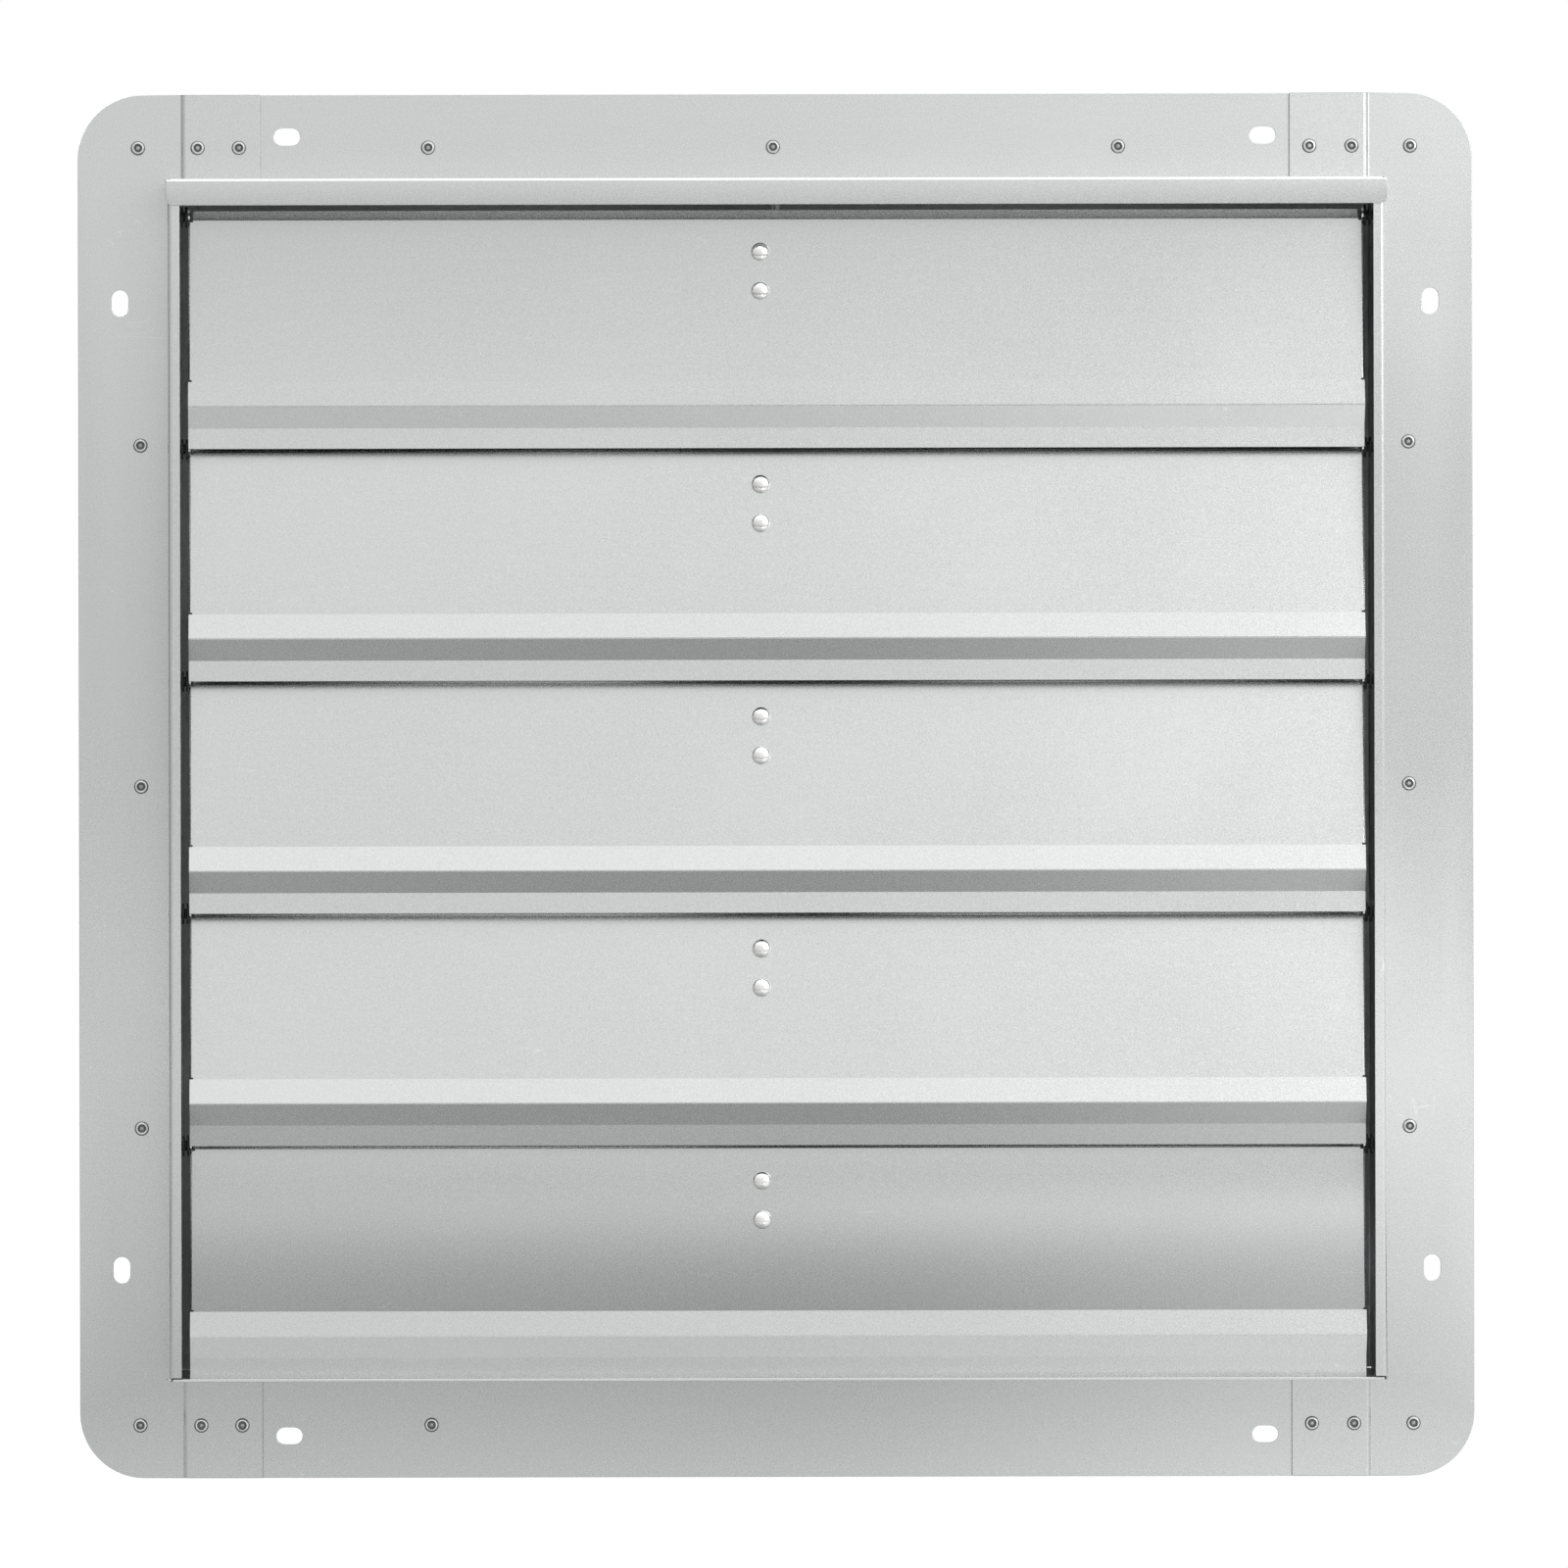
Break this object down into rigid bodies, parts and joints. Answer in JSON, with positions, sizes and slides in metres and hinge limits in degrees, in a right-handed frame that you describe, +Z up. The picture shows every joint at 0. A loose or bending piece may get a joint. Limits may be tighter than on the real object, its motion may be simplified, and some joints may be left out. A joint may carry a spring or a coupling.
{
  "type": "shutter exhaust fan",
  "caption": "Wall exhaust fan with gravity louvers in a flanged sheet-metal frame, a ducted axial fan and a wire guard behind.",
  "frame": {"origin": "middle of the mounting flange, in the plane that rests on the wall", "axes": "+Y into the wall towards the fan, +Z up, louvers facing -Y, +X to the right seen from the front"},
  "size_m": [0.625, 0.2178, 0.62],
  "materials": {
    "frame": "satin mill finish",
    "louver": "satin mill finish",
    "nylon": "moulded",
    "zinc": "zinc plated",
    "rivet": "polished",
    "housing": "galvanised",
    "blade": "pressed sheet",
    "motor": "black enamel",
    "guard": "black powder coat",
    "shaft": "ground",
    "plastic": "moulded"
  },
  "bodies": {
    "frame": {"frame_left": "frame", "frame_right": "frame", "frame_top": "frame", "frame_bottom": "frame", "housing_left": "housing", "housing_right": "housing", "housing_top": "housing", "housing_bottom": "housing", "orifice_panel": "housing", "motor_strap_upper": "zinc", "motor_strap_lower": "zinc", "motor_body": "motor", "motor_cap_front": "motor", "motor_cap_rear": "motor", "terminal_box": "plastic", "terminal_lid": "plastic", "cable_gland": "plastic", "wire_guard": "guard"},
    "louver_1": {"louver_1": "louver", "pivot_pin_1_left": "nylon", "pivot_pin_1_right": "nylon", "link_bracket_1": "zinc", "louver_rivet_1_upper": "rivet", "louver_rivet_1_lower": "rivet", "link_pin_1": "zinc"},
    "louver_2": {"louver_2": "louver", "pivot_pin_2_left": "nylon", "pivot_pin_2_right": "nylon", "link_bracket_2": "zinc", "louver_rivet_2_upper": "rivet", "louver_rivet_2_lower": "rivet", "link_pin_2": "zinc"},
    "louver_3": {"louver_3": "louver", "pivot_pin_3_left": "nylon", "pivot_pin_3_right": "nylon", "link_bracket_3": "zinc", "louver_rivet_3_upper": "rivet", "louver_rivet_3_lower": "rivet", "link_pin_3": "zinc"},
    "louver_4": {"louver_4": "louver", "pivot_pin_4_left": "nylon", "pivot_pin_4_right": "nylon", "link_bracket_4": "zinc", "louver_rivet_4_upper": "rivet", "louver_rivet_4_lower": "rivet", "link_pin_4": "zinc"},
    "louver_5": {"louver_5": "louver", "pivot_pin_5_left": "nylon", "pivot_pin_5_right": "nylon", "link_bracket_5": "zinc", "louver_rivet_5_upper": "rivet", "louver_rivet_5_lower": "rivet", "link_pin_5": "zinc"},
    "tie_bar": {"tie_bar": "zinc"},
    "rotor": {"fan_shaft": "shaft", "fan_hub": "motor", "fan_blade_1": "blade", "fan_blade_2": "blade", "fan_blade_3": "blade"}
  },
  "joints": [
    {"name": "louver_1_hinge", "type": "hinge", "parent": "frame", "child": "louver_1", "pos_m": [0, -0.024, 0.2545], "axis": [-1, 0, 0], "range_deg": [0, 80]},
    {"name": "louver_2_hinge", "type": "hinge", "parent": "frame", "child": "louver_2", "pos_m": [0, -0.024, 0.15072], "axis": [-1, 0, 0], "range_deg": [0, 80]},
    {"name": "louver_3_hinge", "type": "hinge", "parent": "frame", "child": "louver_3", "pos_m": [0, -0.024, 0.04694], "axis": [-1, 0, 0], "range_deg": [0, 80]},
    {"name": "louver_4_hinge", "type": "hinge", "parent": "frame", "child": "louver_4", "pos_m": [0, -0.024, -0.05684], "axis": [-1, 0, 0], "range_deg": [0, 80]},
    {"name": "louver_5_hinge", "type": "hinge", "parent": "frame", "child": "louver_5", "pos_m": [0, -0.024, -0.16062], "axis": [-1, 0, 0], "range_deg": [0, 80]},
    {"name": "tie_bar_pivot", "type": "hinge", "parent": "louver_1", "child": "tie_bar", "pos_m": [0.001, -0.00406, 0.2638], "axis": [-1, 0, 0], "range_deg": [-80, 0]},
    {"name": "fan_spin", "type": "hinge", "parent": "frame", "child": "rotor", "pos_m": [0, 0.071, 0.00275], "axis": [0, 1, 0], "continuous": true}
  ],
  "couplings": [
    {"joint": "louver_2_hinge", "follows": "louver_1_hinge", "ratio": 1},
    {"joint": "louver_3_hinge", "follows": "louver_1_hinge", "ratio": 1},
    {"joint": "louver_4_hinge", "follows": "louver_1_hinge", "ratio": 1},
    {"joint": "louver_5_hinge", "follows": "louver_1_hinge", "ratio": 1},
    {"joint": "tie_bar_pivot", "follows": "louver_1_hinge", "ratio": -1}
  ]
}
